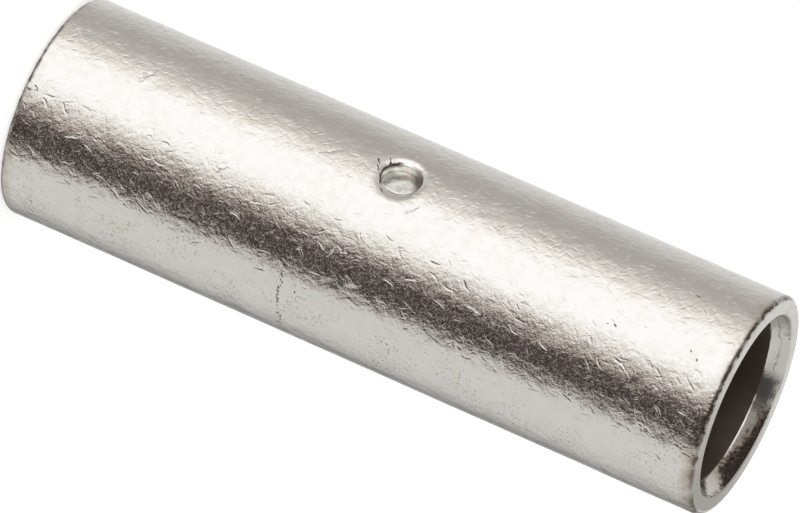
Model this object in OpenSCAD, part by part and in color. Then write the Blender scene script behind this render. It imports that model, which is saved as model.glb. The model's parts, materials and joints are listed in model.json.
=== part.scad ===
// Compression splice: one plain copper tube, tin-plated, that joins two stranded conductors end to end.
// The tube stands on its foot at Z = 0 with its axis along +Z. The recess of the wire stop faces -Y.

/* [Tube] */
// Length of the tube
tube_length = 70; // [40:1:140]
// Outer diameter of the tube
tube_d = 21; // [19.5:0.1:32]
// Diameter of the bore that takes the conductors
bore_d = 15.5; // [8:0.1:17]

/* [Ends] */
// Radius that rounds the outer edge of each end
edge_r = 0.55; // [0.1:0.05:1]
// How much wider than the bore each mouth is, on the radius
mouth_flare = 1; // [0.2:0.1:1.5]
// Depth of the conical lead-in behind each mouth
mouth_depth = 1.6; // [0.5:0.1:6]

/* [Wire stop] */
// Diameter of the recess that the punch left in the outside of the tube
recess_d = 3.7; // [2:0.1:6]
// Depth of the recess below the tube's surface
recess_depth = 1.5; // [0.6:0.1:2]
// Radius between the wall and the floor of the recess
recess_floor_r = 0.4; // [0.1:0.05:0.9]
// Diameter of the boss that the punch raised in the bore
boss_d = 4.6; // [3:0.1:5.6]
// Height of the boss above the wall of the bore
boss_h = 1.3; // [0.6:0.1:3]
// Radius that rounds the top of the boss
boss_top_r = 0.6; // [0.1:0.05:1.2]
// Length of the middle stretch of the bore that the punch drew in
waist_length = 8; // [7:0.5:14]
// Length of the slope at each end of that stretch
waist_slope = 1; // [0.4:0.1:1.4]
// How far that stretch is drawn in, on the radius
waist_draw = 0.2; // [0.05:0.01:0.5]

/* [Hidden] */
$fn = 96;

tube_r = tube_d / 2;
bore_r = bore_d / 2;
mouth_r = bore_r + mouth_flare;
waist_r = bore_r - waist_draw;
middle_z = tube_length / 2;
waist_top = middle_z + waist_length / 2;
waist_foot = middle_z - waist_length / 2;
// How far a cutting shape, or the root of the boss, reaches past the face that it meets
overlap = 0.5;

// Half section of the wall: X is the radius, Y the height
module wall_section() {
    difference() {
        polygon([
            [mouth_r, 0],
            [tube_r, 0],
            [tube_r, tube_length],
            [mouth_r, tube_length],
            [bore_r, tube_length - mouth_depth],
            [bore_r, waist_top],
            [waist_r, waist_top - waist_slope],
            [waist_r, waist_foot + waist_slope],
            [bore_r, waist_foot],
            [bore_r, mouth_depth]
        ]);
        translate([tube_r - edge_r, tube_length - edge_r]) outer_corner();
        translate([tube_r - edge_r, edge_r]) mirror([0, 1]) outer_corner();
    }
}

// What the rounding takes off a corner, from the centre of its arc outwards
module outer_corner() {
    difference() {
        square(edge_r + overlap);
        circle(r = edge_r);
    }
}

// A round peg along +Z whose far end is rounded by end_r
module round_peg(d, length, end_r) {
    rotate_extrude() {
        square([d / 2, length - end_r]);
        square([d / 2 - end_r, length]);
        intersection() {
            translate([d / 2 - end_r, length - end_r]) circle(r = end_r);
            square([d / 2, length]);
        }
    }
}

// Places a peg at mid-length, pointing from the given radius straight in towards the axis
module point_inwards(from_r) {
    translate([0, -from_r, middle_z]) rotate([-90, 0, 0]) children();
}

module stop_recess() {
    point_inwards(tube_r + overlap) round_peg(recess_d, recess_depth + overlap, recess_floor_r);
}

module stop_boss() {
    point_inwards(bore_r + overlap) round_peg(boss_d, boss_h + overlap, boss_top_r);
}

// The whole splice: tube, lead-ins and the punched wire stop in one piece of copper
module sleeve() {
    color([0.78, 0.77, 0.75])
    difference() {
        union() {
            rotate_extrude() wall_section();
            stop_boss();
        }
        stop_recess();
    }
}

sleeve();
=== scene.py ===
import json
import math
import bpy
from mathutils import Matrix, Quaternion, Vector

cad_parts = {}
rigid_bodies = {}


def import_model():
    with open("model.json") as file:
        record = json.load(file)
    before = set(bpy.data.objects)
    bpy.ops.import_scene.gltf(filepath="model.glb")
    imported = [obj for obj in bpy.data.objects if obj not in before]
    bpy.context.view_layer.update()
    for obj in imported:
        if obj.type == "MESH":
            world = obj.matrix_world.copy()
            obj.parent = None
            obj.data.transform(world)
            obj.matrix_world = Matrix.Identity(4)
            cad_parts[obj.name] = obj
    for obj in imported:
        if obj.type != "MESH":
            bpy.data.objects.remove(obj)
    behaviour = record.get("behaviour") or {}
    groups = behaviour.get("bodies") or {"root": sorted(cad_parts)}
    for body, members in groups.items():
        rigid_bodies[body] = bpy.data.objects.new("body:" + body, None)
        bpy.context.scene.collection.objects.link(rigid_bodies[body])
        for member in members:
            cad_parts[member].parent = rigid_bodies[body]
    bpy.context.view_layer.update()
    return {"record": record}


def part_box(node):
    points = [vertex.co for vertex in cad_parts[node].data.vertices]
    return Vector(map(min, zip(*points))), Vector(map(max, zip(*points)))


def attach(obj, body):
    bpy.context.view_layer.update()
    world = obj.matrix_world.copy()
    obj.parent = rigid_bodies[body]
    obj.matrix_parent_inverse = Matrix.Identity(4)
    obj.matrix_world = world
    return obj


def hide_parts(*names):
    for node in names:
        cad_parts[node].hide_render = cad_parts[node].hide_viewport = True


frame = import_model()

mm = 0.001
weld = 0.001 * mm         # points closer than this become one


def hexColour(code):
    parts = [int(code[i:i + 2], 16) / 255 for i in (1, 3, 5)]
    linear = [c / 12.92 if c <= 0.04045 else ((c + 0.055) / 1.055) ** 2.4 for c in parts]
    return (*linear, 1.0)


def addNode(tree, kind, inputs=None, stops=None, **settings):
    node = tree.nodes.new("ShaderNode" + kind)
    for name, value in settings.items():
        setattr(node, name, value)
    for name, value in (inputs or {}).items():
        if isinstance(value, bpy.types.NodeSocket):
            tree.links.new(value, node.inputs[name])
        else:
            node.inputs[name].default_value = value
    if stops:
        ramp = node.color_ramp.elements
        while len(ramp) < len(stops):
            ramp.new(1.0)
        for element, (place, colour) in zip(ramp, stops):
            element.position = place
            element.color = colour
    return node.outputs


def newTree(name):
    material = bpy.data.materials.new(name)
    material.use_nodes = True
    material.node_tree.nodes.clear()
    return material, material.node_tree


def deselectAll():
    if bpy.context.object and bpy.context.object.mode != "OBJECT":
        bpy.ops.object.mode_set(mode="OBJECT")
    bpy.ops.object.select_all(action="DESELECT")


# Camera: the long lens of a catalogue shot, rolled so that the tube lies across the frame
view = {
    "aim": Vector((0.094, 0.070, 35.321)) * mm,
    "distance": 771.09 * mm,
    "azimuth": 36.666,     # degrees to the right of the recess
    "elevation": 16.683,
    "roll": 113.681,
    "lens": 389.54,
    "sensor": 36.0,
}


def placeCamera():
    side = math.radians(view["azimuth"])
    rise = math.radians(view["elevation"])
    level = math.cos(rise)
    back = Vector((math.sin(side) * level, -math.cos(side) * level, math.sin(rise)))
    lens = bpy.data.cameras.new("catalogueLens")
    lens.sensor_width = view["sensor"]
    lens.lens = view["lens"]
    camera = bpy.data.objects.new("catalogueCamera", lens)
    bpy.context.collection.objects.link(camera)
    camera.location = view["aim"] + back * view["distance"]
    camera.rotation_mode = "QUATERNION"
    roll = Quaternion((0, 0, 1), math.radians(view["roll"]))
    camera.rotation_quaternion = (-back).to_track_quat("-Z", "Y") @ roll
    bpy.context.scene.camera = camera


placeCamera()
print("camera placed")

# The sleeve's sizes: the frame gives the tube and its bore, the rest repeats the solid
low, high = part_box("sleeve")
mounts = {mount["name"]: mount for mount in frame["record"]["mounts"]}
sleeve = {
    "length": high[2] - low[2],
    "outerR": (high[0] - low[0]) / 2,
    "boreR": mounts["upper_bore"]["dims"]["r_mm"] * mm,
    "edgeRound": 0.55 * mm,
    "edgeSteps": 6,
    "mouthFlare": 1.0 * mm,
    "mouthDepth": 1.6 * mm,
    "mouthRound": 0.14 * mm,      # slight rounds of the lead-in's outer and inner edge
    "throatRound": 0.15 * mm,
    "mouthSteps": 3,
    "waistLength": 8.0 * mm,
    "waistSlope": 1.0 * mm,
    "waistDraw": 0.2 * mm,
    "around": 220,                # faces round the tube
    "barrelFaces": (10, 23),      # faces along each stretch of the section, one number to a round of cuts
    "endFaces": (6,),
    "leadInFaces": (10,),
    "boreFaces": (15,),
    "waistFaces": (4, 7),
    "smoothAngle": 38,
}
top = sleeve["length"]
middle = top / 2
outerR = sleeve["outerR"]
boreR = sleeve["boreR"]
mouthR = boreR + sleeve["mouthFlare"]
mouthDepth = sleeve["mouthDepth"]
waistR = boreR - sleeve["waistDraw"]


def selectVerts(mesh, test):
    bpy.ops.mesh.select_all(action="DESELECT")
    bpy.ops.object.mode_set(mode="OBJECT")
    for vert in mesh.vertices:
        vert.select = test(vert.co)
    bpy.ops.object.mode_set(mode="EDIT")
    bpy.ops.mesh.select_mode(type="VERT")


def selectEdges(mesh, test):
    bpy.ops.mesh.select_all(action="DESELECT")
    bpy.ops.mesh.select_mode(type="EDGE")
    bpy.ops.object.mode_set(mode="OBJECT")
    for edge in mesh.edges:
        edge.select = all(test(mesh.vertices[i].co) for i in edge.vertices)
    bpy.ops.object.mode_set(mode="EDIT")


def near(a, b):
    return abs(a - b) < 2 * weld


def fromEnd(co):
    return min(co.z, top - co.z)


def fromAxis(co):
    return math.hypot(co.x, co.y)


def sectionOutline():
    half = sleeve["waistLength"] / 2
    flat = half - sleeve["waistSlope"]
    return [
        (outerR, 0), (outerR, top), (mouthR, top), (boreR, top - mouthDepth),
        (boreR, middle + half), (waistR, middle + flat),
        (waistR, middle - flat), (boreR, middle - half),
        (boreR, mouthDepth), (mouthR, 0),
    ]


def cutEdges(mesh, test, rounds):
    selectEdges(mesh, test)
    for pieces in rounds:
        bpy.ops.mesh.subdivide(number_cuts=pieces - 1)


def spinSleeve():
    outline = sectionOutline()
    start = (outline[0][0], 0, outline[0][1])
    slopeFrom = boreR + 0.10 * mm      # past the round at the lead-in's inner edge
    deselectAll()
    bpy.ops.mesh.primitive_plane_add(size=0.1 * mm, location=(0, 0, 0))
    piece = bpy.context.object
    piece.name = "splice_sleeve"
    mesh = piece.data
    # the plane shrinks to one point, which is drawn along the section
    bpy.ops.object.mode_set(mode="EDIT")
    bpy.ops.mesh.merge(type="CENTER")
    bpy.ops.transform.translate(value=start)
    for here, there in zip(outline, outline[1:]):
        step = (there[0] - here[0], 0, there[1] - here[1])
        bpy.ops.mesh.extrude_region_move(TRANSFORM_OT_translate={"value": step})
    selectVerts(mesh, lambda co: near(co.z, 0))
    bpy.ops.mesh.edge_face_add()
    selectVerts(mesh, lambda co: near(co.x, outerR))
    bpy.ops.mesh.bevel(offset=sleeve["edgeRound"], segments=sleeve["edgeSteps"], affect="VERTICES")
    selectVerts(mesh, lambda co: near(co.x, mouthR))
    bpy.ops.mesh.bevel(offset=sleeve["mouthRound"], segments=sleeve["mouthSteps"], affect="VERTICES")
    selectVerts(mesh, lambda co: near(co.x, boreR) and near(fromEnd(co), mouthDepth))
    bpy.ops.mesh.bevel(offset=sleeve["throatRound"], segments=sleeve["mouthSteps"], affect="VERTICES")
    cutEdges(mesh, lambda co: near(co.x, outerR), sleeve["barrelFaces"])
    cutEdges(mesh, lambda co: near(fromEnd(co), 0), sleeve["endFaces"])
    cutEdges(mesh, lambda co: slopeFrom < co.x < mouthR and fromEnd(co) < mouthDepth,
             sleeve["leadInFaces"])
    cutEdges(mesh, lambda co: near(co.x, boreR), sleeve["boreFaces"])
    cutEdges(mesh, lambda co: near(co.x, waistR), sleeve["waistFaces"])
    bpy.ops.mesh.select_all(action="SELECT")
    bpy.ops.mesh.spin(steps=sleeve["around"], angle=math.tau, center=(0, 0, 0), axis=(0, 0, 1))
    bpy.ops.mesh.select_all(action="SELECT")
    bpy.ops.mesh.remove_doubles(threshold=weld)
    bpy.ops.mesh.normals_make_consistent(inside=False)
    bpy.ops.object.mode_set(mode="OBJECT")
    return piece


# Wire stop: rings of half width, half height, depth and sideways set, in mm;
# the lip's depth is from the wall's own surface, the rest is from a flat level
recess = {
    "cells": 14,              # faces cut out of the wall, each way from the middle
    "rim": 2.55 * mm,
    "bridgeCuts": 4,
    "lip": [
        (2.30, 2.38, 0.028, -0.06), (2.10, 2.23, 0.075, -0.11), (1.92, 2.11, 0.128, -0.16),
        (1.78, 2.02, 0.180, -0.20), (1.67, 1.95, 0.226, -0.22), (1.61, 1.905, 0.258, -0.235),
    ],
    "flat": [
        (1.60, 1.90, 0.45, -0.24), (1.62, 1.925, 0.80, -0.24), (1.65, 1.955, 1.20, -0.24),
        (1.665, 1.97, 1.42, -0.24), (1.66, 1.965, 1.475, -0.24), (1.635, 1.94, 1.50, -0.24),
        (1.16, 1.38, 1.50, -0.21), (0.70, 0.82, 1.50, -0.20), (0.36, 0.40, 1.50, -0.19),
    ],
}
boss = {
    "cells": 14,
    "rim": 2.55 * mm,
    "bridgeCuts": 3,
    "lip": [(2.42, 2.42, 0.03, 0), (2.33, 2.33, 0.10, 0), (2.30, 2.30, 0.30, 0)],
    "flat": [
        (2.30, 2.30, 0.50, 0), (2.25, 2.25, 0.75, 0), (2.12, 2.12, 0.92, 0), (1.95, 1.95, 1.03, 0),
        (1.70, 1.70, 1.10, 0), (1.20, 1.20, 1.12, 0), (0.60, 0.60, 1.12, 0),
    ],
}
wallSlack = 0.01 * mm         # a face this near to the wall's radius is part of the wall
openEdges = {"use_boundary": True, "use_multi_face": False, "use_non_contiguous": False,
             "use_verts": False}


def layOnWall(mesh, wallR):
    for vert in mesh.vertices:
        if vert.select:
            vert.co.y = -math.sqrt(wallR ** 2 - vert.co.x ** 2)


def openWall(piece, wallR, stop):
    mesh = piece.data
    halfTurn = math.tau / sleeve["around"] * stop["cells"]
    halfRise = halfTurn * wallR
    deselectAll()
    piece.select_set(True)
    bpy.context.view_layer.objects.active = piece
    bpy.ops.object.mode_set(mode="EDIT")
    bpy.ops.mesh.select_all(action="DESELECT")
    bpy.ops.mesh.select_mode(type="FACE")
    bpy.ops.object.mode_set(mode="OBJECT")
    for face in mesh.polygons:
        spot = face.center
        turned = abs(math.atan2(spot.x, -spot.y)) < halfTurn
        level = abs(spot.z - middle) < halfRise
        face.select = turned and level and abs(fromAxis(spot) - wallR) < wallSlack
    bpy.ops.object.mode_set(mode="EDIT")
    bpy.ops.mesh.delete(type="FACE")
    bpy.ops.mesh.select_mode(type="EDGE")
    # the rim circle has as many points as the square opening; it is laid on the wall and bridged
    bpy.ops.mesh.primitive_circle_add(vertices=8 * stop["cells"], radius=stop["rim"],
                                      location=(0, -wallR, middle), rotation=(math.pi / 2, 0, 0))
    bpy.ops.mesh.select_non_manifold(extend=False, use_wire=True, **openEdges)
    bpy.ops.object.mode_set(mode="OBJECT")
    layOnWall(mesh, wallR)
    bpy.ops.object.mode_set(mode="EDIT")
    bpy.ops.mesh.bridge_edge_loops(number_cuts=stop["bridgeCuts"], interpolation="LINEAR")
    bpy.ops.mesh.select_more()
    bpy.ops.object.mode_set(mode="OBJECT")
    layOnWall(mesh, wallR)


def sinkRings(wallR, stop):
    bpy.ops.object.mode_set(mode="EDIT")
    bpy.ops.mesh.select_mode(type="EDGE")
    bpy.ops.mesh.select_non_manifold(extend=False, use_wire=False, **openEdges)
    wide = tall = stop["rim"] / mm
    sunk = off = 0.0
    for ringWide, ringTall, depth, ringOff in stop["lip"]:
        move = ((ringOff - off) * mm, (depth - sunk) * mm, 0)
        bpy.ops.mesh.extrude_edges_move(TRANSFORM_OT_translate={"value": move})
        bpy.ops.transform.resize(value=(ringWide / wide, 1, ringTall / tall),
                                 center_override=(ringOff * mm, -wallR, middle))
        wide, tall, sunk, off = ringWide, ringTall, depth, ringOff
    for ringWide, ringTall, depth, ringOff in stop["flat"]:
        move = ((ringOff - off) * mm, 0, 0)
        bpy.ops.mesh.extrude_edges_move(TRANSFORM_OT_translate={"value": move})
        bpy.ops.transform.resize(value=(ringWide / wide, 0, ringTall / tall),
                                 center_override=(ringOff * mm, -wallR + depth * mm, middle))
        wide, tall, off = ringWide, ringTall, ringOff
    bpy.ops.mesh.extrude_edges_move(TRANSFORM_OT_translate={"value": (0, 0, 0)})
    bpy.ops.mesh.merge(type="CENTER")
    bpy.ops.mesh.select_all(action="SELECT")
    bpy.ops.mesh.remove_doubles(threshold=weld)
    bpy.ops.mesh.normals_make_consistent(inside=False)
    bpy.ops.object.mode_set(mode="OBJECT")


sleevePiece = spinSleeve()
for wallR, stop in ((outerR, recess), (waistR, boss)):
    openWall(sleevePiece, wallR, stop)
    sinkRings(wallR, stop)
print("sleeve spun and punched:", len(sleevePiece.data.polygons), "faces")

# Surfaces in the order of the material slots, and where one gives way to the next
surfaces = ["barrel", "sawnEnd", "bore", "recess", "leadIn"]
borders = {
    "recess": (0.225 * mm, 1.7 * mm),      # depth below the barrel
    "pressed": (0.3 * mm, 1.7 * mm),       # the part of the recess that is pressed uneven
    "leadInDepth": mouthDepth + 0.10 * mm,
    "leadInR": mouthR - 0.05 * mm,
    "boreR": boreR + 0.1 * mm,
    "barrelR": outerR - 0.28 * mm,         # what is roughened as barrel and as mouth
    "mouthDepth": mouthDepth + 0.2 * mm,
    "mouthR": mouthR + 0.05 * mm,
}
# Drawn tube is never quite true: slow waves and small dents in the barrel, a rough mouth,
# an uneven floor in the stop
unevenness = [
    {"name": "drawnWaves", "group": "barrel", "size": 5.0 * mm, "depth": 0.035 * mm},
    {"name": "tumbledDents", "group": "barrel", "size": 1.1 * mm, "depth": 0.010 * mm},
    {"name": "roughMouth", "group": "mouths", "size": 0.9 * mm, "depth": 0.07 * mm},
    {"name": "pressedFloor", "group": "stop", "size": 1.0 * mm, "depth": 0.05 * mm},
]


def inRecess(co, depths):
    within = co.y < -boreR and math.hypot(co.x, co.z - middle) < recess["rim"]
    return within and depths[0] < outerR - fromAxis(co) < depths[1]


def shareOut(piece):
    for face in piece.data.polygons:
        spot = face.center
        radius = fromAxis(spot)
        name = "barrel"
        if inRecess(spot, borders["recess"]):
            name = "recess"
        elif fromEnd(spot) < borders["leadInDepth"] and radius < outerR - sleeve["edgeRound"]:
            name = "leadIn" if radius < borders["leadInR"] else "sawnEnd"
        elif radius < borders["boreR"]:
            name = "bore"
        face.material_index = surfaces.index(name)


def onBarrel(co):
    return fromAxis(co) > borders["barrelR"]


def onMouth(co):
    return fromEnd(co) < borders["mouthDepth"] and fromAxis(co) < borders["mouthR"]


def onStop(co):
    return inRecess(co, borders["pressed"])


def roughen(piece):
    for name, test in (("barrel", onBarrel), ("mouths", onMouth), ("stop", onStop)):
        group = piece.vertex_groups.new(name=name)
        group.add([vert.index for vert in piece.data.vertices if test(vert.co)], 1.0, "REPLACE")
    deselectAll()
    piece.select_set(True)
    bpy.context.view_layer.objects.active = piece
    for wave in unevenness:
        noise = bpy.data.textures.new(wave["name"], "CLOUDS")
        noise.noise_scale = wave["size"]
        noise.noise_depth = 1
        shift = piece.modifiers.new(wave["name"], "DISPLACE")
        shift.texture = noise
        shift.texture_coords = "LOCAL"
        shift.vertex_group = wave["group"]
        shift.mid_level = 0.0
        shift.strength = -wave["depth"]     # inwards only, so the tube keeps its size
        bpy.ops.object.modifier_apply(modifier=shift.name)
    bpy.ops.object.shade_smooth_by_angle(angle=math.radians(sleeve["smoothAngle"]))


shareOut(sleevePiece)
roughen(sleevePiece)
print("sleeve roughened")


# Places on the tube, in mm: round the arc and up the barrel, out from the axis, in from the nearer end
def tubeCoords(tree):
    spot = addNode(tree, "TexCoord")["Object"]
    inMm = addNode(tree, "VectorMath", {0: spot, "Scale": 1 / mm}, operation="SCALE")["Vector"]
    axes = addNode(tree, "SeparateXYZ", {0: inMm})
    turn = addNode(tree, "Math", {0: axes["Y"], 1: axes["X"]}, operation="ARCTAN2")[0]
    arc = addNode(tree, "Math", {0: turn, 1: outerR / mm}, operation="MULTIPLY")[0]
    flat = addNode(tree, "CombineXYZ", {"X": arc, "Y": axes["Z"]})[0]
    cross = addNode(tree, "CombineXYZ", {"X": axes["X"], "Y": axes["Y"]})[0]
    radius = addNode(tree, "VectorMath", {0: cross}, operation="LENGTH")["Value"]
    fromTop = addNode(tree, "Math", {0: top / mm, 1: axes["Z"]}, operation="SUBTRACT")[0]
    edge = addNode(tree, "Math", {0: axes["Z"], 1: fromTop}, operation="MINIMUM")[0]
    return {"spot": inMm, "flat": flat, "turn": turn, "height": axes["Z"],
            "radius": radius, "edge": edge}


# 1 where the tube faces that way, -1 on the far side
def sideOf(tree, turn, degrees):
    away = addNode(tree, "Math", {0: turn, 1: math.radians(degrees)}, operation="SUBTRACT")[0]
    return addNode(tree, "Math", {0: away}, operation="COSINE")[0]


# Nicks from tumbling, in mm: one bowed canoe-shaped groove to each cell, or to a share of the cells,
# at a random lean between two angles, in degrees from the arc
nicks = [
    {"cell": 0.7, "length": 0.26, "width": 0.08, "depth": 0.011, "share": 0.9, "bow": 1.4,
     "lean": (0, 360), "shift": (0, 0, 0), "zone": "worn"},
    {"cell": 1.2, "length": 0.45, "width": 0.11, "depth": 0.024, "share": 0.55, "bow": 0.9,
     "lean": (10, 130), "shift": (5.3, 2.9, 0), "zone": "rubbed side"},
    {"cell": 1.7, "length": 0.66, "width": 0.15, "depth": 0.042, "share": 0.6, "bow": 0.6,
     "lean": (35, 105), "shift": (3.1, 7.7, 0), "zone": "worn"},
    {"cell": 0.75, "length": 0.40, "width": 0.12, "depth": 0.027, "share": 0.75, "bow": 0.9,
     "lean": (70, 190), "shift": (8.7, 1.3, 0), "zone": "other side"},
]
# Single marks that catch the light, in mm and degrees: arc and height on the barrel, length, lean,
# half width, depth
marks = {
    "deepen": 1.25,       # all of them together
    "ragSize": 0.714,
    "bend": 0.4,          # mm that a mark wanders off its line
    "places": [
        (-7.8, 6.3, 1.9, 112, 0.17, 0.040), (-10.3, 20.2, 1.3, 138, 0.10, 0.034),
        (-9.2, 21.7, 1.8, 118, 0.13, 0.037), (-8.9, 24.4, 1.4, 94, 0.15, 0.037),
        (-9.3, 25.7, 1.3, 116, 0.14, 0.037), (-7.6, 32.4, 1.4, 158, 0.15, 0.037),
        (-8.1, 33.3, 1.3, 80, 0.14, 0.034), (-5.8, 35.0, 1.6, 60, 0.11, 0.037),
        (-5.4, 34.7, 1.2, 70, 0.11, 0.031), (-16.2, 28.2, 2.4, 128, 0.17, 0.041),
        (-12.8, 60.0, 3.3, 84, 0.10, 0.012), (-22.5, 52.9, 1.3, 82, 0.10, 0.034),
        (-13.9, 37.5, 1.4, 145, 0.10, 0.031), (-15.7, 9.8, 2.2, 156, 0.22, 0.045),
        (-10.0, 15.1, 1.2, 121, 0.09, 0.030), (-4.2, 46.0, 1.4, 65, 0.14, 0.040),
        (-8.0, 46.5, 1.7, 80, 0.15, 0.042), (-9.1, 46.9, 1.1, 79, 0.13, 0.036),
        (-4.7, 48.8, 1.1, 73, 0.17, 0.042), (-4.6, 50.4, 1.2, 66, 0.13, 0.040),
        (-5.0, 56.7, 1.0, 32, 0.12, 0.036), (-4.1, 57.7, 1.5, 79, 0.14, 0.038),
        (-7.5, 58.0, 1.1, 42, 0.12, 0.036), (-8.5, 61.3, 1.6, 55, 0.12, 0.034),
        (-4.6, 61.9, 1.9, 95, 0.14, 0.040), (-4.3, 64.6, 2.6, 74, 0.15, 0.042),
        (-9.1, 65.4, 1.2, 54, 0.14, 0.036),
    ],
}


def nickField(tree, flat, nick):
    moved = addNode(tree, "VectorMath", {0: flat, 1: nick["shift"]}, operation="ADD")["Vector"]
    cells = addNode(tree, "TexVoronoi", {"Vector": moved, "Scale": 1 / nick["cell"], "Randomness": 1.0},
                    voronoi_dimensions="2D")
    local = addNode(tree, "VectorMath", {0: moved, 1: cells["Position"]}, operation="SUBTRACT")["Vector"]
    dice = addNode(tree, "SeparateColor", {0: cells["Color"]})
    leans = [-math.radians(lean) for lean in nick["lean"]]
    angle = addNode(tree, "MapRange", {0: dice[0], 3: leans[0], 4: leans[1]})[0]
    turned = addNode(tree, "VectorRotate", {"Vector": local, "Angle": angle}, rotation_type="Z_AXIS")[0]
    axes = addNode(tree, "SeparateXYZ", {0: turned})
    square = addNode(tree, "Math", {0: axes["X"], 1: axes["X"]}, operation="MULTIPLY")[0]
    bow = addNode(tree, "MapRange", {0: dice[2], 3: -nick["bow"], 4: nick["bow"]})[0]
    bent = addNode(tree, "Math", {0: square, 1: bow, 2: axes["Y"]}, operation="MULTIPLY_ADD")[0]
    curve = addNode(tree, "CombineXYZ", {"X": axes["X"], "Y": bent})[0]
    scaled = addNode(tree, "VectorMath", {0: curve, 1: (1 / nick["length"], 1 / nick["width"], 0)},
                     operation="MULTIPLY")["Vector"]
    away = addNode(tree, "VectorMath", {0: scaled, 1: scaled}, operation="DOT_PRODUCT")["Value"]
    groove = addNode(tree, "Math", {0: 1.0, 1: away}, operation="SUBTRACT", use_clamp=True)[0]
    fade = addNode(tree, "MapRange", {0: dice[1], 1: nick["share"], 2: 0.0, 4: -nick["depth"]})[0]
    return addNode(tree, "Math", {0: groove, 1: fade}, operation="MULTIPLY")[0]


# Each mark is a long ellipse, drawn as with a thread round two pins, and joins the sum at once:
# a longer list of loose values would be more than a material can hold
def singleMarks(tree, flat, places):
    total = 0.0
    for arc, height, length, lean, width, amount in places:
        reach = math.sqrt((length / 2) ** 2 - width ** 2)
        way = Vector((math.cos(math.radians(lean)), math.sin(math.radians(lean)), 0)) * reach
        centre = Vector((arc, height, 0))
        first = addNode(tree, "VectorMath", {0: flat, 1: centre - way}, operation="DISTANCE")["Value"]
        second = addNode(tree, "VectorMath", {0: flat, 1: centre + way}, operation="DISTANCE")["Value"]
        thread = addNode(tree, "Math", {0: first, 1: second}, operation="ADD")[0]
        slack = addNode(tree, "Math", {0: length, 1: thread}, operation="SUBTRACT")[0]
        inside = addNode(tree, "Math", {0: slack, 1: 0.0}, operation="MAXIMUM")[0]
        total = addNode(tree, "Math", {0: inside, 1: amount / (length - 2 * reach), 2: total},
                        operation="MULTIPLY_ADD")[0]
    return total


# From here on, a range in braces is the inputs of a Map Range node: 1 and 2 are where it begins
# and is full, 3 and 4 its least and most

# Tin-plated copper, tumbled: pale, slightly warm satin metal, crumpled all over by small knocks
tinPlate = {
    "clean": "#C9C7C1",
    "stain": "#C9BFA8",
    "mottle": "#BBB9B2",
    "speck": "#6E6C68",
    "pit": "#3F3730",
    "smear": "#A0968A",
    "grime": "#3D2F26",
    "roughness": {1: 0.3, 2: 0.7, 3: 0.12, 4: 0.19},
}
# Its relief: sizes and depths in mm, sides in degrees round the tube
crumple = {
    "relief": [               # spacing, depth, detail
        (0.8, 0.048, 1.0),    # dents
        (2.6, 0.10, 1.0),     # slow swells
    ],
    "grain": [                # small knocks, strongest on the worn side
        (0.17, 0.011, 0.5),
        (0.32, 0.016, 1.0),
    ],
    "curl": 0.5,              # distortion of the noise
    "threads": [(0.27, 0.003), (0.45, 0.005)],    # spacing and height of the scuffed steps
    "threadStep": (0.45, 0.55),                   # noise at the foot and the top of a step
    "threadCurl": 0.8,
    "wornSide": -40,
    "worn": {1: 0.90, 2: 0.98, 3: 0.32},          # by the cosine from that side
    "rubbedSide": -20,
    "turnOver": (68, 42),     # degrees from the rubbed side where nicks and strokes change lean
    "strokes": {"rubbed side": (62, 0.003), "other side": (148, 0.016)},    # lean and depth
    "strokeSize": (0.9, 0.30),
}


def knocks(tree, spot, layers):
    heights = []
    for size, depth, detail in layers:
        noise = addNode(tree, "TexNoise", {"Vector": spot, "Scale": 1 / size, "Detail": detail,
                                           "Distortion": crumple["curl"]})[0]
        heights.append(addNode(tree, "Math", {0: noise, 1: depth}, operation="MULTIPLY")[0])
    return heights


def wearZones(tree, turn):
    facing = sideOf(tree, turn, crumple["wornSide"])
    worn = addNode(tree, "MapRange", {0: facing, **crumple["worn"]})[0]
    outer, inner = [math.cos(math.radians(angle)) for angle in crumple["turnOver"]]
    towards = sideOf(tree, turn, crumple["rubbedSide"])
    rubbed = addNode(tree, "MapRange", {0: towards, 1: outer, 2: inner})[0]
    other = addNode(tree, "MapRange", {0: towards, 1: inner, 2: outer})[0]
    return {"facing": facing, "worn": worn, "rubbed side": rubbed, "other side": other}


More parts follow.
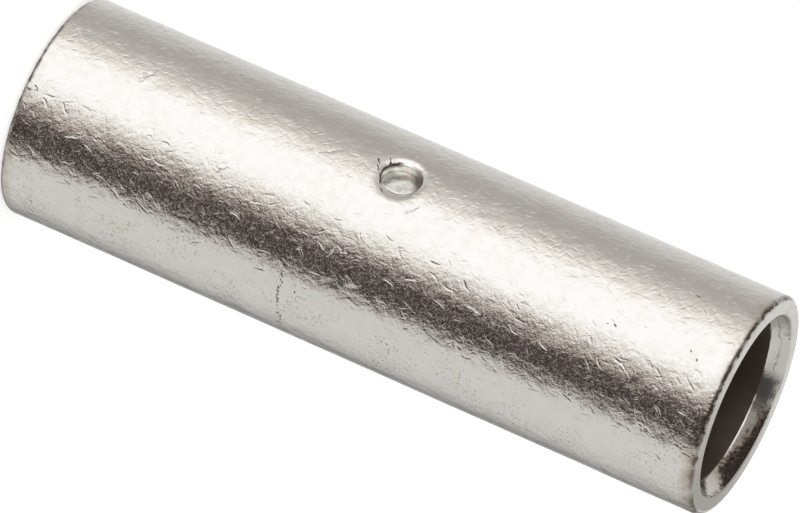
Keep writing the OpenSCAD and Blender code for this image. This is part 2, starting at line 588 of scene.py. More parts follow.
def tinRelief(tree, coords):
    spot = coords["spot"]
    flat = coords["flat"]
    heights = knocks(tree, spot, crumple["relief"])
    grain = knocks(tree, spot, crumple["grain"])
    zones = wearZones(tree, coords["turn"])
    for zone, (lean, depth) in crumple["strokes"].items():
        laid = addNode(tree, "Mapping", {"Vector": flat, "Rotation": (0, 0, math.radians(lean)),
                                         "Scale": (*crumple["strokeSize"], 1)}, vector_type="TEXTURE")[0]
        rub = addNode(tree, "TexNoise", {"Vector": laid, "Scale": 1.0, "Detail": 1.0},
                      noise_dimensions="2D")[0]
        zoned = addNode(tree, "Math", {0: rub, 1: zones[zone]}, operation="MULTIPLY")[0]
        heights.append(addNode(tree, "Math", {0: zoned, 1: depth}, operation="MULTIPLY")[0])
    foot, head = crumple["threadStep"]
    for size, depth in crumple["threads"]:
        noise = addNode(tree, "TexNoise", {"Vector": spot, "Scale": 1 / size, "Detail": 1.0,
                                           "Distortion": crumple["threadCurl"]})[0]
        grain.append(addNode(tree, "MapRange", {0: noise, 1: foot, 2: head, 4: depth},
                             interpolation_type="SMOOTHSTEP")[0])
    fine = grain[0]
    for layer in grain[1:]:
        fine = addNode(tree, "Math", {0: fine, 1: layer}, operation="ADD")[0]
    heights.append(addNode(tree, "Math", {0: fine, 1: zones["worn"]}, operation="MULTIPLY")[0])
    for nick in nicks:
        field = nickField(tree, flat, nick)
        zoned = addNode(tree, "Math", {0: field, 1: zones[nick["zone"]]}, operation="MULTIPLY")[0]
        heights.append(zoned)
    bend = marks["bend"]
    rag = addNode(tree, "TexNoise", {"Vector": spot, "Scale": 1 / marks["ragSize"],
                                     "Detail": 3.0})["Color"]
    bent = addNode(tree, "VectorMath", {0: rag, 1: (2 * bend, 2 * bend, 0), 2: flat},
                   operation="MULTIPLY_ADD")["Vector"]
    bent = addNode(tree, "VectorMath", {0: bent, 1: (bend, bend, 0)}, operation="SUBTRACT")["Vector"]
    cut = singleMarks(tree, bent, marks["places"])
    heights.append(addNode(tree, "Math", {0: cut, 1: -marks["deepen"]}, operation="MULTIPLY")[0])
    total = heights[0]
    for height in heights[1:]:
        total = addNode(tree, "Math", {0: total, 1: height}, operation="ADD")[0]
    bump = addNode(tree, "Bump", {"Height": total, "Distance": mm, "Strength": 1.0})[0]
    return bump, bent, zones["facing"]


# Faint yellow stains, grey mottling and strewn specks: sizes in mm, ranges by the noise
blotches = {
    "broadSize": 4.545,
    "closeSize": 0.909,
    "stained": {1: 0.26, 2: 0.48, 4: 0.25},
    "mottled": {1: 0.42, 2: 0.68, 4: 0.22},
    "speckSize": (0.32, 0.27),
    "crowded": {1: 0.35, 2: 0.65, 3: -0.12, 4: 0.06},
    "speckSide": 5,       # degrees round the tube
    "sided": {1: 0.3, 2: 0.85, 3: 0.05, 4: 0.55},     # by the cosine from that side
    "specked": {1: 0.625, 2: 0.75},
}


def tinStains(tree, coords):
    spot = coords["spot"]
    broad = addNode(tree, "TexNoise", {"Vector": spot, "Scale": 1 / blotches["broadSize"],
                                       "Detail": 3.0})[0]
    close = addNode(tree, "TexNoise", {"Vector": spot, "Scale": 1 / blotches["closeSize"],
                                       "Detail": 3.0})[0]
    both = addNode(tree, "Math", {0: broad, 1: close}, operation="MULTIPLY")[0]
    stain = addNode(tree, "MapRange", {0: both, **blotches["stained"]})[0]
    colour = addNode(tree, "Mix", {0: stain, 6: hexColour(tinPlate["clean"]),
                                   7: hexColour(tinPlate["stain"])}, data_type="RGBA")[2]
    strewn = addNode(tree, "Mapping", {"Vector": coords["flat"], "Scale": (*blotches["speckSize"], 1)},
                     vector_type="TEXTURE")[0]
    dust = addNode(tree, "TexNoise", {"Vector": strewn, "Scale": 1.0, "Detail": 1.5},
                   noise_dimensions="2D")[0]
    mottle = addNode(tree, "MapRange", {0: close, **blotches["mottled"]})[0]
    colour = addNode(tree, "Mix", {0: mottle, 6: colour, 7: hexColour(tinPlate["mottle"])},
                     data_type="RGBA")[2]
    crowd = addNode(tree, "MapRange", {0: broad, **blotches["crowded"]})[0]
    dense = addNode(tree, "Math", {0: dust, 1: crowd}, operation="ADD")[0]
    facing = sideOf(tree, coords["turn"], blotches["speckSide"])
    share = addNode(tree, "MapRange", {0: facing, **blotches["sided"]})[0]
    speck = addNode(tree, "MapRange", {0: dense, **blotches["specked"], 4: share})[0]
    colour = addNode(tree, "Mix", {0: speck, 6: colour, 7: hexColour(tinPlate["speck"])},
                     data_type="RGBA")[2]
    return colour, close, dust


# Dark pits: arc and height on the barrel, length, lean, half width, strength
pits = {
    "dark": {2: 0.6, 4: 0.9},      # by the strength
    "places": [
        (-17.4, 32.4, 0.7, 50, 0.12, 0.9), (-17.8, 33.2, 0.8, 20, 0.11, 0.9),
        (-16.6, 32.6, 0.7, 20, 0.10, 0.6), (-14.6, 34.0, 0.5, 50, 0.08, 0.6),
        (-22.5, 52.9, 1.2, 80, 0.05, 0.6), (-22.7, 7.8, 0.4, 120, 0.09, 0.8),
        (-17.7, 63.9, 0.4, 100, 0.09, 0.8), (-11.6, 58.1, 0.4, 80, 0.09, 0.6),
        (-11.7, 58.9, 0.5, 75, 0.09, 0.7), (-12.3, 66.0, 0.4, 80, 0.09, 0.7),
        (-11.7, 66.9, 0.4, 60, 0.10, 0.7), (-10.1, 0.6, 0.5, 100, 0.11, 0.8),
        (-10.4, 1.2, 0.5, 60, 0.10, 0.8), (3.7, 21.7, 0.8, 80, 0.06, 0.5),
        (-2.4, 30.1, 0.4, 45, 0.08, 0.6), (-1.9, 66.5, 0.8, 55, 0.09, 0.8),
        (-3.7, 12.5, 0.4, 50, 0.09, 0.7), (-0.7, 28.5, 0.7, 20, 0.06, 0.6),
    ],
}
# A broken dark line round the barrel, in mm: its height, swing and half width, its ends on the arc
crackLine = {
    "height": 28.65,
    "swing": 0.8,
    "swingSize": 0.833,
    "halfWidth": {1: 0.17, 2: 0.05},
    "starts": {1: -5.7, 2: -5.1},
    "ends": {1: 4.2, 2: 2.7},
    "broken": {1: 0.46, 2: 0.53, 4: 0.9},     # by the noise of the specks
}


def tinPits(tree, coords, bent, dust, colour):
    pit = singleMarks(tree, bent, pits["places"])
    pit = addNode(tree, "MapRange", {0: pit, **pits["dark"]})[0]
    swing = crackLine["swing"]
    axes = addNode(tree, "SeparateXYZ", {0: coords["flat"]})
    sway = addNode(tree, "TexNoise", {"Vector": coords["spot"], "Scale": 1 / crackLine["swingSize"],
                                      "Detail": 3.0})[0]
    offLine = addNode(tree, "Math", {0: sway, 1: 2 * swing, 2: axes["Y"]}, operation="MULTIPLY_ADD")[0]
    offLine = addNode(tree, "Math", {0: offLine, 1: crackLine["height"] + swing},
                      operation="SUBTRACT")[0]
    offLine = addNode(tree, "Math", {0: offLine}, operation="ABSOLUTE")[0]
    inLine = addNode(tree, "MapRange", {0: offLine, **crackLine["halfWidth"]})[0]
    starts = addNode(tree, "MapRange", {0: axes["X"], **crackLine["starts"]})[0]
    ends = addNode(tree, "MapRange", {0: axes["X"], **crackLine["ends"]})[0]
    breaks = addNode(tree, "MapRange", {0: dust, **crackLine["broken"]})[0]
    for part in (starts, ends, breaks):
        inLine = addNode(tree, "Math", {0: inLine, 1: part}, operation="MULTIPLY")[0]
    dark = addNode(tree, "Math", {0: pit, 1: inLine}, operation="MAXIMUM")[0]
    return addNode(tree, "Mix", {0: dark, 6: colour, 7: hexColour(tinPlate["pit"])},
                   data_type="RGBA")[2]


# Brown smear and a thin grimy line along the sawn edges, both wavering and patchy:
# sizes in mm, ranges by mm from the edge or up the barrel, or by the noise
edgeDirt = {
    "waverSize": 0.588,
    "smearWaver": 1.0,
    "smear": {1: 0.95, 2: 0.15},
    "smearPatches": {1: 0.38, 2: 0.58, 3: 0.45},
    "smearTurn": (-58, 50),            # degrees round the tube
    "smearFade": (0.5, 0.25),          # radians in from there, least
    "smearHeight": {1: 20.0, 2: 50.0, 3: 0.55},
    "lineWaver": 0.4,
    "lineInner": {1: 0.36, 2: 0.02},
    "lineOuter": {1: -0.16, 2: -0.08},
    "linePatches": {1: 0.36, 2: 0.54, 3: 0.45, 4: 0.95},
    "lineTurn": (-30, 5),              # degrees round the tube where it begins to thin and is thinnest
    "lineThinnest": 0.4,
}


def tinEdges(tree, coords, close, colour):
    edge = coords["edge"]
    turn = coords["turn"]
    waver = addNode(tree, "TexNoise", {"Vector": coords["spot"], "Scale": 1 / edgeDirt["waverSize"],
                                       "Detail": 4.0})[0]
    inset = addNode(tree, "Math", {0: waver, 1: -edgeDirt["smearWaver"], 2: edge},
                    operation="MULTIPLY_ADD")[0]
    smear = addNode(tree, "MapRange", {0: inset, **edgeDirt["smear"]})[0]
    patchy = addNode(tree, "MapRange", {0: close, **edgeDirt["smearPatches"]})[0]
    start, end = [math.radians(angle) for angle in edgeDirt["smearTurn"]]
    fade, least = edgeDirt["smearFade"]
    left = addNode(tree, "MapRange", {0: turn, 1: start, 2: start + fade, 3: least})[0]
    right = addNode(tree, "MapRange", {0: turn, 1: end, 2: end - fade, 3: least})[0]
    topward = addNode(tree, "MapRange", {0: coords["height"], **edgeDirt["smearHeight"]})[0]
    for part in (left, right, patchy, topward):
        smear = addNode(tree, "Math", {0: smear, 1: part}, operation="MULTIPLY")[0]
    colour = addNode(tree, "Mix", {0: smear, 6: colour, 7: hexColour(tinPlate["smear"])},
                     data_type="RGBA")[2]
    inset = addNode(tree, "Math", {0: waver, 1: -edgeDirt["lineWaver"], 2: edge},
                    operation="MULTIPLY_ADD")[0]
    inner = addNode(tree, "MapRange", {0: inset, **edgeDirt["lineInner"]})[0]
    outer = addNode(tree, "MapRange", {0: inset, **edgeDirt["lineOuter"]})[0]
    grime = addNode(tree, "Math", {0: inner, 1: outer}, operation="MULTIPLY")[0]
    patchy = addNode(tree, "MapRange", {0: close, **edgeDirt["linePatches"]})[0]
    start, end = [math.radians(angle) for angle in edgeDirt["lineTurn"]]
    thick = addNode(tree, "MapRange", {0: turn, 1: start, 2: end, 3: 1.0,
                                       4: edgeDirt["lineThinnest"]})[0]
    for part in (patchy, thick):
        grime = addNode(tree, "Math", {0: grime, 1: part}, operation="MULTIPLY")[0]
    return addNode(tree, "Mix", {0: grime, 6: colour, 7: hexColour(tinPlate["grime"])},
                   data_type="RGBA")[2]


# Dull scuffed threads on the worn side, pale flecks where the bright tin mirrors something dark
scuffs = {
    "size": 0.30,                        # mm
    "level": 0.5,                        # a thread follows this level of the noise
    "halfWidth": {1: 0.09, 2: 0.02},     # either side of it, in the same noise
    "broken": {1: 0.36, 2: 0.52},
    "facing": {1: 0.94, 2: 0.98},        # by the cosine from the worn side
    "roughness": 0.42,
}


def tinScuffs(tree, coords, facing, close, dust):
    fine = addNode(tree, "TexNoise", {"Vector": coords["spot"], "Scale": 1 / scuffs["size"],
                                      "Detail": 1.0, "Distortion": crumple["threadCurl"]})[0]
    offThread = addNode(tree, "Math", {0: fine, 1: scuffs["level"]}, operation="SUBTRACT")[0]
    offThread = addNode(tree, "Math", {0: offThread}, operation="ABSOLUTE")[0]
    scuff = addNode(tree, "MapRange", {0: offThread, **scuffs["halfWidth"]})[0]
    breaks = addNode(tree, "MapRange", {0: dust, **scuffs["broken"]})[0]
    strip = addNode(tree, "MapRange", {0: facing, **scuffs["facing"]})[0]
    for part in (breaks, strip):
        scuff = addNode(tree, "Math", {0: scuff, 1: part}, operation="MULTIPLY")[0]
    rough = addNode(tree, "MapRange", {0: close, **tinPlate["roughness"]})[0]
    return addNode(tree, "MapRange", {0: scuff, 3: rough, 4: scuffs["roughness"]})[0]


def makeTinPlate():
    material, tree = newTree("tumbled tin-plated copper")
    coords = tubeCoords(tree)
    bump, bent, facing = tinRelief(tree, coords)
    colour, close, dust = tinStains(tree, coords)
    colour = tinPits(tree, coords, bent, dust, colour)
    colour = tinEdges(tree, coords, close, colour)
    rough = tinScuffs(tree, coords, facing, close, dust)
    shader = addNode(tree, "BsdfPrincipled", {"Base Color": colour, "Metallic": 1.0,
                                              "Roughness": rough, "Normal": bump})[0]
    addNode(tree, "OutputMaterial", {"Surface": shader})
    return material


# Sawn end: the same tin, left matt and finely torn by the saw, duller on one side
sawnEnd = {
    "clean": "#D3D2CD",
    "stain": "#B0AA9F",
    "dulled": "#94918A",
    "roughness": 0.42,
    "tornSize": 0.20,                           # mm, coarser than the saw's own marks, so that it shows
    "tornDepth": 0.02 * mm,
    "cloudSize": 1.25,
    "stained": {1: 0.45, 2: 0.75, 4: 0.35},     # by the noise
    "dullTurn": 28,                             # degrees round the mouth
    "dulling": {1: -0.2, 2: 0.9, 4: 0.9},       # by the cosine from that side
}


def makeSawnEnd():
    material, tree = newTree("sawn tin-plated end")
    coords = tubeCoords(tree)
    spot = coords["spot"]
    torn = addNode(tree, "TexNoise", {"Vector": spot, "Scale": 1 / sawnEnd["tornSize"], "Detail": 3.0})[0]
    cloud = addNode(tree, "TexNoise", {"Vector": spot, "Scale": 1 / sawnEnd["cloudSize"],
                                       "Detail": 3.0})[0]
    stain = addNode(tree, "MapRange", {0: cloud, **sawnEnd["stained"]})[0]
    colour = addNode(tree, "Mix", {0: stain, 6: hexColour(sawnEnd["clean"]),
                                   7: hexColour(sawnEnd["stain"])}, data_type="RGBA")[2]
    facing = sideOf(tree, coords["turn"], sawnEnd["dullTurn"])
    dulled = addNode(tree, "MapRange", {0: facing, **sawnEnd["dulling"]})[0]
    colour = addNode(tree, "Mix", {0: dulled, 6: colour, 7: hexColour(sawnEnd["dulled"])},
                     data_type="RGBA")[2]
    bump = addNode(tree, "Bump", {"Height": torn, "Distance": sawnEnd["tornDepth"], "Strength": 1.0})[0]
    shader = addNode(tree, "BsdfPrincipled", {"Base Color": colour, "Metallic": 1.0,
                                              "Roughness": sawnEnd["roughness"], "Normal": bump})[0]
    addNode(tree, "OutputMaterial", {"Surface": shader})
    return material


# Lead-in: smooth tin with a matt burnt crust on one side, rusty round its edge, and a broken dark seam
leadIn = {
    "clean": "#C1BDB6",
    "crust": "#2A1F18",
    "rust": "#6A5443",
    "seam": "#4A3F37",
    "roughness": (0.15, 0.8),          # tin and crust
    "metallic": (1.0, 0.2),
    "crustTurn": (71, 138),            # degrees round the mouth, from the broad end to the narrow one
    "crustStart": (-0.10, 0.16),       # radians past each end, where it begins and is whole
    "crustEnd": (0.14, -0.16),
    "crustLoss": -1.1,                 # what it lacks before it begins
    "crustInner": (-0.10, 0.78),       # where it starts across the lead-in, at its two ends
    "ragSize": 0.4545,
    "ragReach": 1.6,
    "crusted": {1: 0.82, 2: 1.12},
    "rusted": {1: 0.52, 2: 0.92, 4: 0.75},
    "fleckSize": 0.2222,
    "flecked": {1: 0.56, 2: 0.68, 4: 0.7},
    "seamR": 8.25,                     # mm from the axis
    "seamSwing": 0.3,
    "swingSize": 0.714,
    "seamWidth": 0.06,
    "seamBroken": {1: 0.42, 2: 0.52, 3: 0.2, 4: 0.8},
    "seamTurn": (146, 156),            # the seam shows beyond these
    "grainSize": 0.3333,
    "grainDepth": 0.012,
    "crustDepth": 0.06,
}


def makeLeadIn():
    material, tree = newTree("crusted tin-plated lead-in")
    coords = tubeCoords(tree)
    spot = coords["spot"]
    turn = coords["turn"]
    # the crust is broad at one end and drawn out along the outer edge
    start, end = [math.radians(angle) for angle in leadIn["crustTurn"]]
    broad, narrow = leadIn["crustInner"]
    inner = addNode(tree, "MapRange", {0: turn, 1: start, 2: end, 3: broad, 4: narrow})[0]
    across = addNode(tree, "MapRange", {0: coords["radius"], 1: boreR / mm, 2: mouthR / mm},
                     clamp=False)[0]
    over = addNode(tree, "Math", {0: across, 1: inner}, operation="SUBTRACT")[0]
    rag = addNode(tree, "TexNoise", {"Vector": spot, "Scale": 1 / leadIn["ragSize"], "Detail": 5.0,
                                     "Roughness": 0.7})[0]
    over = addNode(tree, "Math", {0: rag, 1: leadIn["ragReach"], 2: over}, operation="MULTIPLY_ADD")[0]
    fades = []
    for place, (begins, full) in ((start, leadIn["crustStart"]), (end, leadIn["crustEnd"])):
        fades.append(addNode(tree, "MapRange", {0: turn, 1: place + begins, 2: place + full,
                                                3: leadIn["crustLoss"], 4: 0.0})[0])
    for fade in fades:
        over = addNode(tree, "Math", {0: over, 1: fade}, operation="ADD")[0]
    crust = addNode(tree, "MapRange", {0: over, **leadIn["crusted"]})[0]
    halo = addNode(tree, "MapRange", {0: over, **leadIn["rusted"]})[0]
    fleck = addNode(tree, "TexNoise", {"Vector": spot, "Scale": 1 / leadIn["fleckSize"],
                                       "Detail": 3.0})[0]
    flaked = addNode(tree, "MapRange", {0: fleck, **leadIn["flecked"]})[0]
    burnt = addNode(tree, "Mix", {0: flaked, 6: hexColour(leadIn["crust"]),
                                  7: hexColour(leadIn["rust"])}, data_type="RGBA")[2]
    # the seam
    swing = leadIn["seamSwing"]
    sway = addNode(tree, "TexNoise", {"Vector": spot, "Scale": 1 / leadIn["swingSize"], "Detail": 3.0})[0]
    off = addNode(tree, "Math", {0: sway, 1: 2 * swing, 2: coords["radius"]}, operation="MULTIPLY_ADD")[0]
    off = addNode(tree, "Math", {0: off, 1: leadIn["seamR"] + swing}, operation="SUBTRACT")[0]
    off = addNode(tree, "Math", {0: off}, operation="ABSOLUTE")[0]
    breaks = addNode(tree, "MapRange", {0: sway, **leadIn["seamBroken"]})[0]
    seam = addNode(tree, "MapRange", {0: off, 1: leadIn["seamWidth"], 2: 0.0})[0]
    far = addNode(tree, "Math", {0: turn}, operation="ABSOLUTE")[0]
    begins, full = [math.radians(angle) for angle in leadIn["seamTurn"]]
    shown = addNode(tree, "MapRange", {0: far, 1: begins, 2: full})[0]
    for part in (breaks, shown):
        seam = addNode(tree, "Math", {0: seam, 1: part}, operation="MULTIPLY")[0]
    colour = addNode(tree, "Mix", {0: seam, 6: hexColour(leadIn["clean"]),
                                   7: hexColour(leadIn["seam"])}, data_type="RGBA")[2]
    colour = addNode(tree, "Mix", {0: halo, 6: colour, 7: hexColour(leadIn["rust"])},
                     data_type="RGBA")[2]
    colour = addNode(tree, "Mix", {0: crust, 6: colour, 7: burnt}, data_type="RGBA")[2]
    grain = addNode(tree, "TexNoise", {"Vector": spot, "Scale": 1 / leadIn["grainSize"],
                                       "Detail": 3.0})[0]
    height = addNode(tree, "Math", {0: grain, 1: leadIn["grainDepth"]}, operation="MULTIPLY")[0]
    height = addNode(tree, "Math", {0: crust, 1: leadIn["crustDepth"], 2: height},
                     operation="MULTIPLY_ADD")[0]
    bump = addNode(tree, "Bump", {"Height": height, "Distance": mm, "Strength": 1.0})[0]
    onTin, onCrust = leadIn["roughness"]
    rough = addNode(tree, "MapRange", {0: crust, 3: onTin, 4: onCrust})[0]
    onTin, onCrust = leadIn["metallic"]
    metal = addNode(tree, "MapRange", {0: crust, 3: onTin, 4: onCrust})[0]
    shader = addNode(tree, "BsdfPrincipled", {"Base Color": colour, "Metallic": metal,
                                              "Roughness": rough, "Normal": bump})[0]
    addNode(tree, "OutputMaterial", {"Surface": shader})
    return material


# Bore: thin tin over bare drawn copper, gone brown and dull inside
boreSkin = {
    "dark": "#6B6056",
    "light": "#756A5F",
    "roughness": {3: 0.58, 4: 0.68},
    "cloudSize": 2.857,             # mm
    "clouded": {1: 0.35, 2: 0.7},
    "drawnLines": (4.0, 0.12),      # lines to a mm, round the bore and along it
    "lineDepth": 0.006 * mm,
}


def makeBoreSkin():
    material, tree = newTree("tarnished copper bore")
    coords = tubeCoords(tree)
    cloud = addNode(tree, "TexNoise", {"Vector": coords["spot"], "Scale": 1 / boreSkin["cloudSize"],
                                       "Detail": 4.0})[0]
    mixing = addNode(tree, "MapRange", {0: cloud, **boreSkin["clouded"]})[0]
    colour = addNode(tree, "Mix", {0: mixing, 6: hexColour(boreSkin["dark"]),
                                   7: hexColour(boreSkin["light"])}, data_type="RGBA")[2]
    rough = addNode(tree, "MapRange", {0: cloud, **boreSkin["roughness"]})[0]
    drawn = addNode(tree, "Mapping", {"Vector": coords["flat"], "Scale": (*boreSkin["drawnLines"], 1)})[0]
    lines = addNode(tree, "TexNoise", {"Vector": drawn, "Scale": 1.0, "Detail": 2.0})[0]
    bump = addNode(tree, "Bump", {"Height": lines, "Distance": boreSkin["lineDepth"], "Strength": 1.0})[0]
    shader = addNode(tree, "BsdfPrincipled", {"Base Color": colour, "Metallic": 1.0,
                                              "Roughness": rough, "Normal": bump})[0]
    addNode(tree, "OutputMaterial", {"Surface": shader})
    return material


# Recess: tin smeared smooth by the punch, its wall and floor coloured paler than the tin as painted
# light, with tarnish and painted shade on the rim towards the foot end and painted shade towards the
# mouth end
punchedTin = {
    # the wall's near-white and the floor's pale grey, paler than the tin itself, are painted light that
    # brightens the recess
    "clean": "#FAF8F2",
    "stain": "#F3EFE4",
    "floor": "#DBDCD7",
    "greyed": "#9B958B",
    "lip": "#C9C7C1",
    # dark brown on the rim and upper wall towards the foot end: tarnish from the sheared edge and painted
    # shade
    "tarnishAndShade": "#4C382C",
    # grey on the recess's side towards the mouth end: painted shade
    "dulled": "#7E766C",
    "roughness": (0.30, 0.26),                  # wall and floor
    "cloudSize": 0.909,                         # mm
    "stained": {1: 0.4, 2: 0.7},                # by the noise
    "greying": {1: 0.52, 2: 0.66, 4: 0.5},
    "floorDepth": {1: 1.2, 2: 1.42},            # by mm below the barrel
    "lipDepth": {1: 0.5, 2: 0.25},
    "tarnishShadeDepth": {1: 0.9, 2: 0.5},
    "centre": -0.22,                            # the recess sits this far sideways
    "tarnishShadeWay": (-0.20, -0.98),                 # x and z of the side with tarnish and painted shade, and of the side with painted shade
    "shadedWay": (-0.43, 0.90),
    "tarnishShading": {1: 1.2, 2: 1.65, 4: 0.95},     # by mm out that way
    "dulling": {1: 1.05, 2: 1.7, 4: 0.85},
    "ragSize": 0.3846,
    "ragReach": 0.7,
    "dentSize": 0.4545,
    "dentDepth": 0.02 * mm,
}


def makePunchedTin():
    material, tree = newTree("punched tin-plated copper")
    coords = tubeCoords(tree)
    spot = coords["spot"]
    tin = punchedTin
    cloud = addNode(tree, "TexNoise", {"Vector": spot, "Scale": 1 / tin["cloudSize"], "Detail": 3.0})[0]
    stain = addNode(tree, "MapRange", {0: cloud, **tin["stained"]})[0]
    # painted light: the wall's near-white, paler than the tin itself
    colour = addNode(tree, "Mix", {0: stain, 6: hexColour(tin["clean"]), 7: hexColour(tin["stain"])},
                     data_type="RGBA")[2]
    depth = addNode(tree, "Math", {0: outerR / mm, 1: coords["radius"]}, operation="SUBTRACT")[0]
    down = addNode(tree, "MapRange", {0: depth, **tin["floorDepth"]})[0]
    greyed = addNode(tree, "MapRange", {0: cloud, **tin["greying"]})[0]
    pressed = addNode(tree, "Mix", {0: greyed, 6: hexColour(tin["floor"]), 7: hexColour(tin["greyed"])},
                      data_type="RGBA")[2]
    colour = addNode(tree, "Mix", {0: down, 6: colour, 7: pressed}, data_type="RGBA")[2]
    rim = addNode(tree, "MapRange", {0: depth, **tin["lipDepth"]})[0]
    colour = addNode(tree, "Mix", {0: rim, 6: colour, 7: hexColour(tin["lip"])}, data_type="RGBA")[2]
    centred = addNode(tree, "VectorMath", {0: spot, 1: (tin["centre"], 0, middle / mm)},
                      operation="SUBTRACT")["Vector"]
    rag = addNode(tree, "TexNoise", {"Vector": spot, "Scale": 1 / tin["ragSize"], "Detail": 3.0})[0]
    out = {}
    for name in ("tarnishShadeWay", "shadedWay"):
        x, z = tin[name]
        reach = addNode(tree, "VectorMath", {0: centred, 1: (x, 0, z)}, operation="DOT_PRODUCT")["Value"]
        out[name] = addNode(tree, "Math", {0: rag, 1: tin["ragReach"], 2: reach},
                            operation="MULTIPLY_ADD")[0]
    # painted shade: the side towards the mouth end turns grey
    dulled = addNode(tree, "MapRange", {0: out["shadedWay"], **tin["dulling"]})[0]
    colour = addNode(tree, "Mix", {0: dulled, 6: colour, 7: hexColour(tin["dulled"])},
                     data_type="RGBA")[2]
    # tarnish and painted shade: dark brown on the rim and the upper wall, on the side towards the foot
    # end
    shallow = addNode(tree, "MapRange", {0: depth, **tin["tarnishShadeDepth"]})[0]
    tarnishAndShade = addNode(tree, "MapRange", {0: out["tarnishShadeWay"], **tin["tarnishShading"]})[0]
    tarnishAndShade = addNode(tree, "Math", {0: tarnishAndShade, 1: shallow}, operation="MULTIPLY")[0]
    colour = addNode(tree, "Mix", {0: tarnishAndShade, 6: colour, 7: hexColour(tin["tarnishAndShade"])},
                     data_type="RGBA")[2]
    dents = addNode(tree, "TexNoise", {"Vector": spot, "Scale": 1 / tin["dentSize"], "Detail": 2.0})[0]
    bump = addNode(tree, "Bump", {"Height": dents, "Distance": tin["dentDepth"], "Strength": 1.0})[0]
    onWall, onFloor = tin["roughness"]
    rough = addNode(tree, "MapRange", {0: down, 3: onWall, 4: onFloor})[0]
    shader = addNode(tree, "BsdfPrincipled", {"Base Color": colour, "Metallic": 1.0,
                                              "Roughness": rough, "Normal": bump})[0]
    addNode(tree, "OutputMaterial", {"Surface": shader})
    return material


finishes = {"barrel": makeTinPlate, "sawnEnd": makeSawnEnd, "bore": makeBoreSkin,
            "recess": makePunchedTin, "leadIn": makeLeadIn}
for name in surfaces:
    sleevePiece.data.materials.append(finishes[name]())
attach(sleevePiece, "root")
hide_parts("sleeve")
print("tin plate laid on")

# Studio: white all round, a soft box at the camera's left, a dark gap beside it
studio = {
    "ring": [      # degrees from the camera, level, tint
        (-180, 1.06, "paper"), (-160, 0.94, "paper"), (-136, 0.92, "paper"), (-120, 0.76, "shade"),
        (-104, 0.64, "shade"), (-92, 0.74, "shade"), (-76, 0.98, "shade"), (-62, 1.46, "shade"),
        (-52, 1.72, "box"), (-17, 1.72, "box"), (-6, 1.50, "paper"), (5, 1.08, "edge"),
        (14, 0.52, "brown"), (23, 0.09, "gap"), (51, 0.05, "gap"), (55, 0.20, "gap"),
        (61, 0.78, "edge"), (68, 1.01, "paper"), (100, 1.02, "paper"), (124, 0.90, "paper"),
        (146, 0.52, "paper"), (158, 0.25, "paper"), (172, 0.75, "paper"), (180, 1.06, "paper"),
    ],
    "upperRow": [
        (-180, 0.95, "paper"), (-130, 0.80, "paper"), (-90, 0.62, "shade"), (-50, 0.50, "shade"),
        (-10, 0.48, "paper"), (3, 0.40, "edge"), (13, 0.10, "paper"), (52, 0.08, "paper"),
        (60, 0.50, "paper"), (75, 0.90, "paper"), (180, 0.90, "paper"),
    ],
    "tints": {
        "paper": (1, 1, 1), "box": (1, 1, 1.04), "shade": (1, 0.965, 0.945),
        "edge": (1, 0.94, 0.89), "brown": (1.10, 0.925, 0.855), "gap": (1.18, 0.91, 0.88),
    },
    "rowChange": (24, 36),                           # degrees up where the upper row begins and is full
    "sheets": [(0.92, 56, 68), (0.95, -42, -58)],    # overhead and below: level, and the same degrees
    "ringTop": 1.75,       # level of the brightest card
    "ambient": 0.75,       # light on what is matt
    "floor": "#F2F2F0",
    "floorGlow": 0.48,     # lifts the paper to white for the camera alone
    "floorSize": 3.0,
}


def cardStops(row):
    stops = []
    for degrees, level, tint in row:
        shade = [level / studio["ringTop"] * part for part in studio["tints"][tint]]
        stops.append(((degrees + 180) / 360, (*shade, 1.0)))
    return stops


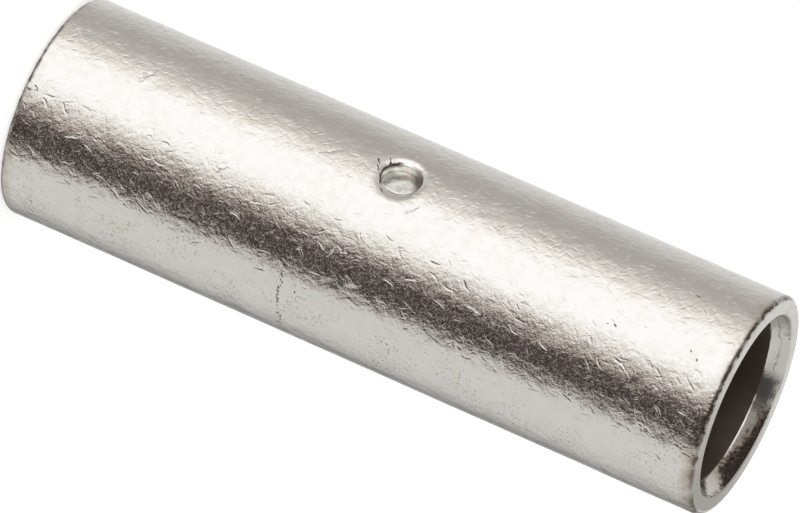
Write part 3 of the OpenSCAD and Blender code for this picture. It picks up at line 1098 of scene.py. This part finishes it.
def lightStudio():
    world = bpy.data.worlds.new("whiteStudio")
    bpy.context.scene.world = world
    world.use_nodes = True
    tree = world.node_tree
    tree.nodes.clear()
    way = addNode(tree, "TexCoord")["Generated"]
    turn = math.radians(90 - view["azimuth"])
    seen = addNode(tree, "VectorRotate", {"Vector": way, "Angle": turn}, rotation_type="Z_AXIS")[0]
    axes = addNode(tree, "SeparateXYZ", {0: seen})
    angle = addNode(tree, "Math", {0: axes["Y"], 1: axes["X"]}, operation="ARCTAN2")[0]
    place = addNode(tree, "MapRange", {0: angle, 1: -math.pi, 2: math.pi})[0]
    cards = addNode(tree, "ValToRGB", {0: place}, stops=cardStops(studio["ring"]))[0]
    upper = addNode(tree, "ValToRGB", {0: place}, stops=cardStops(studio["upperRow"]))[0]
    layers = [(upper, *studio["rowChange"])]
    for level, first, full in studio["sheets"]:
        tone = level / studio["ringTop"]
        layers.append(((tone, tone, tone, 1.0), first, full))
    for shade, first, full in layers:
        begins, ends = [math.sin(math.radians(rise)) for rise in (first, full)]
        share = addNode(tree, "MapRange", {0: axes["Z"], 1: begins, 2: ends})[0]
        cards = addNode(tree, "Mix", {0: share, 6: cards, 7: shade}, data_type="RGBA")[2]
    # the cards show in the metal alone; what is seen past the object is plain white
    path = addNode(tree, "LightPath")
    plain = addNode(tree, "Math", {0: path["Is Camera Ray"], 1: path["Is Transmission Ray"]},
                    operation="MAXIMUM")[0]
    soft = addNode(tree, "Background", {"Color": (1, 1, 1, 1), "Strength": studio["ambient"]})[0]
    white = addNode(tree, "Background", {"Color": (1, 1, 1, 1), "Strength": 1.0})[0]
    bright = addNode(tree, "Background", {"Color": cards, "Strength": studio["ringTop"]})[0]
    lit = addNode(tree, "MixShader", {0: path["Is Glossy Ray"], 1: soft, 2: bright})[0]
    shown = addNode(tree, "MixShader", {0: plain, 1: lit, 2: white})[0]
    addNode(tree, "OutputWorld", {"Surface": shown})


# Floor: matt white paper that takes a soft shadow
def layFloor():
    deselectAll()
    bpy.ops.mesh.primitive_plane_add(size=studio["floorSize"], location=(0, 0, 0))
    floor = bpy.context.object
    floor.name = "paleFloor"
    floor.visible_glossy = False     # the barrel leans its reflections down, past the floor to the cards
    material, tree = newTree("pale paper sweep")
    path = addNode(tree, "LightPath")
    glow = addNode(tree, "Math", {0: path["Is Camera Ray"], 1: studio["floorGlow"]},
                   operation="MULTIPLY")[0]
    paper = addNode(tree, "BsdfDiffuse", {"Color": hexColour(studio["floor"])})[0]
    shine = addNode(tree, "Emission", {"Strength": glow})[0]
    both = addNode(tree, "AddShader", {0: paper, 1: shine})[0]
    addNode(tree, "OutputMaterial", {"Surface": both})
    floor.data.materials.append(material)


lightStudio()
layFloor()
bpy.context.scene.view_settings.view_transform = "Standard"
print("studio lit")
